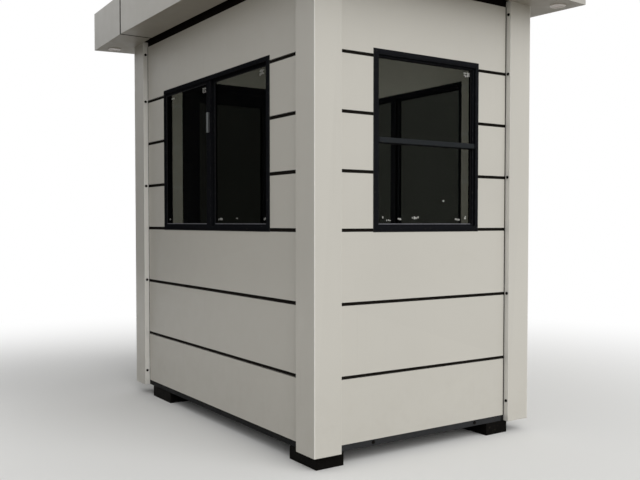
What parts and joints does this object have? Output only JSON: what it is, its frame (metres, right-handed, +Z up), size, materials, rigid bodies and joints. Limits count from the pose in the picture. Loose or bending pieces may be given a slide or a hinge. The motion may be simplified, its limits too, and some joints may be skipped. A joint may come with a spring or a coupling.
{
  "type": "security guard booth",
  "caption": "Panel-clad guard booth on feet: boxed corner posts, flat roof with overhanging fascia, anthracite windows on three sides and a glazed door at the back",
  "frame": {"origin": "centre of the footprint, at the bottom of the feet", "axes": "front wall faces -Y, left wall faces -X, Z is up"},
  "size_m": [1.965, 2.82, 2.784],
  "materials": {
    "cream_cladding": "satin coated sheet",
    "cream_cover": "satin coated folded sheet",
    "cream_roof_sheet": "glossy coated folded sheet",
    "white_sandwich_panel": "coated sheet",
    "dark_strip": "matt dark coating",
    "dark_band": "matt dark coating",
    "black_gasket": "matt",
    "dark_steel": "matt dark paint",
    "grey_floor": "vinyl floor covering",
    "anthracite_frame": "anthracite powder coat",
    "anthracite_sash": "anthracite powder coat",
    "window_glass": "clear",
    "light_pull": "satin",
    "steel_fitting": "satin",
    "light_fitting": "satin rim with frosted lens"
  },
  "bodies": {
    "root": {"back_joint_strips": "dark_strip", "back_panels": "cream_cladding", "back_upper_panel": "cream_cladding", "base_end_rails": "dark_steel", "base_feet": "dark_steel", "base_side_rails": "dark_steel", "ceiling_panel": "white_sandwich_panel", "corner_gaskets": "black_gasket", "corner_post_back_left": "cream_cover", "corner_post_back_right": "cream_cover", "corner_post_front_left": "cream_cover", "corner_post_front_right": "cream_cover", "door_frame": "anthracite_frame", "door_glass": "window_glass", "door_hinges": "steel_fitting", "door_leaf": "anthracite_sash", "door_levers": "steel_fitting", "floor_panel": "grey_floor", "front_joint_strips": "dark_strip", "front_panels": "cream_cladding", "front_upper_panel": "cream_cladding", "front_window_frame": "anthracite_frame", "front_window_glass": "window_glass", "left_joint_strips": "dark_strip", "left_panels": "cream_cladding", "left_upper_panel": "cream_cladding", "left_window_frame": "anthracite_frame", "left_window_glass": "window_glass", "left_window_inner_sash": "anthracite_sash", "left_window_outer_sash": "anthracite_sash", "left_window_pull": "light_pull", "right_joint_strips": "dark_strip", "right_panels": "cream_cladding", "right_upper_panel": "cream_cladding", "right_window_frame": "anthracite_frame", "right_window_glass": "window_glass", "right_window_inner_sash": "anthracite_sash", "right_window_outer_sash": "anthracite_sash", "right_window_pull": "light_pull", "roof_corners": "cream_roof_sheet", "roof_deck": "white_sandwich_panel", "roof_edge_ends": "cream_roof_sheet", "roof_edge_sides": "cream_roof_sheet", "soffit_lights": "light_fitting", "top_beams": "dark_band"}
  },
  "joints": []
}
